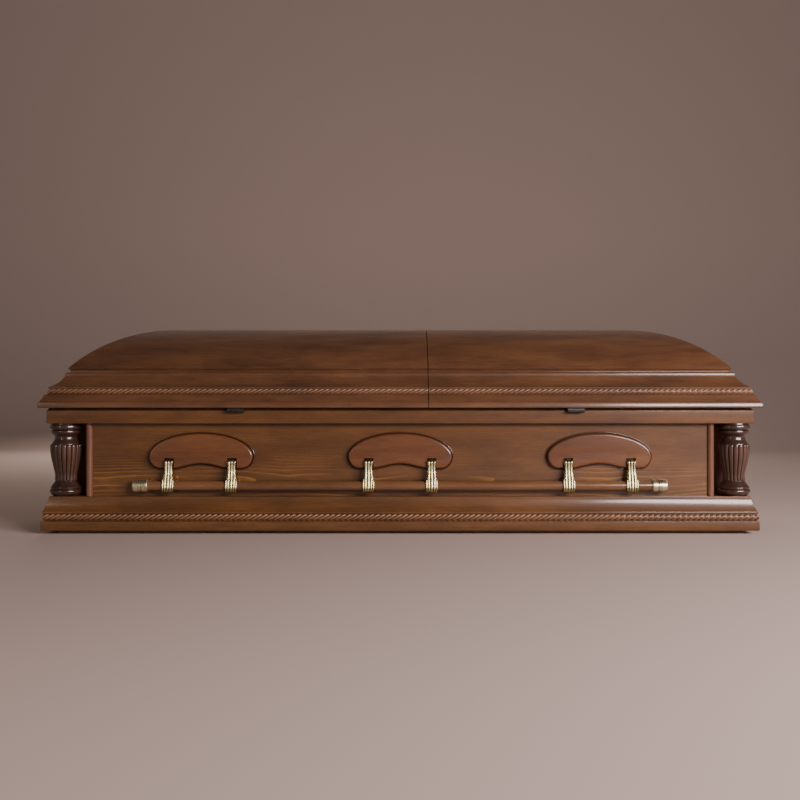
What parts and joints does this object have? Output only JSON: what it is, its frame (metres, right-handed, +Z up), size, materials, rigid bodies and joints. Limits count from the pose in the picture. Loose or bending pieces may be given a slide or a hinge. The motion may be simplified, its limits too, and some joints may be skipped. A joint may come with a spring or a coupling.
{
  "type": "funeral casket",
  "caption": "Half-couch wooden casket with a split domed lid, rope mouldings, gadrooned corner columns, kidney-shaped handle plates and brass swing-bar handles.",
  "frame": {"origin": "on the floor, under the middle of the casket's length and width", "axes": "+X from the head end to the foot end, +Y from the front to the hinged back, +Z up"},
  "size_m": [2.1, 0.71, 0.6175],
  "materials": {
    "stained_wood": "brown stain under satin lacquer",
    "dark_wood": "darker stain under gloss lacquer",
    "bare_wood": "plain unfinished board",
    "brass": "polished pale brass",
    "black_metal": "black lacquered steel"
  },
  "bodies": {
    "shell": {"bottom_board": "bare_wood", "front_panel": "stained_wood", "back_panel": "stained_wood", "head_panel": "stained_wood", "foot_panel": "stained_wood", "front_base_moulding": "stained_wood", "back_base_moulding": "stained_wood", "head_base_moulding": "stained_wood", "foot_base_moulding": "stained_wood", "front_cap_moulding": "stained_wood", "back_cap_moulding": "stained_wood", "head_cap_moulding": "stained_wood", "foot_cap_moulding": "stained_wood", "front_head_post": "stained_wood", "front_foot_post": "stained_wood", "back_head_post": "stained_wood", "back_foot_post": "stained_wood", "front_head_column": "dark_wood", "front_foot_column": "dark_wood", "back_head_column": "dark_wood", "back_foot_column": "dark_wood", "front_head_handle_plate": "stained_wood", "front_middle_handle_plate": "stained_wood", "front_foot_handle_plate": "stained_wood", "back_head_handle_plate": "stained_wood", "back_middle_handle_plate": "stained_wood", "back_foot_handle_plate": "stained_wood", "head_lid_hinge": "brass", "foot_lid_hinge": "brass"},
    "head_lid": {"head_lid_front_rim": "stained_wood", "head_lid_back_rim": "stained_wood", "head_lid_end_rim": "stained_wood", "head_lid_crown": "stained_wood", "head_lid_header": "stained_wood", "head_lid_catch": "black_metal"},
    "foot_lid": {"foot_lid_front_rim": "stained_wood", "foot_lid_back_rim": "stained_wood", "foot_lid_end_rim": "stained_wood", "foot_lid_crown": "stained_wood", "foot_lid_header": "stained_wood", "foot_lid_catch": "black_metal"},
    "front_handle": {"front_bar": "stained_wood", "front_bar_cap_head": "brass", "front_bar_cap_foot": "brass", "front_head_arm_1": "brass", "front_head_arm_2": "brass", "front_middle_arm_1": "brass", "front_middle_arm_2": "brass", "front_foot_arm_1": "brass", "front_foot_arm_2": "brass"},
    "back_handle": {"back_bar": "stained_wood", "back_bar_cap_head": "brass", "back_bar_cap_foot": "brass", "back_head_arm_1": "brass", "back_head_arm_2": "brass", "back_middle_arm_1": "brass", "back_middle_arm_2": "brass", "back_foot_arm_1": "brass", "back_foot_arm_2": "brass"}
  },
  "joints": [
    {"name": "head_lid_hinge_line", "type": "hinge", "parent": "shell", "child": "head_lid", "pos_m": [-0.484, 0.3388, 0.3633], "axis": [-1, 0, 0], "range_deg": [0, 95]},
    {"name": "foot_lid_hinge_line", "type": "hinge", "parent": "shell", "child": "foot_lid", "pos_m": [0.5665, 0.3388, 0.3633], "axis": [-1, 0, 0], "range_deg": [0, 95]},
    {"name": "front_handle_swing", "type": "hinge", "parent": "shell", "child": "front_handle", "pos_m": [0, -0.322, 0.205], "axis": [-1, 0, 0], "range_deg": [0, 85]},
    {"name": "back_handle_swing", "type": "hinge", "parent": "shell", "child": "back_handle", "pos_m": [0, 0.322, 0.205], "axis": [1, 0, 0], "range_deg": [0, 85]}
  ]
}
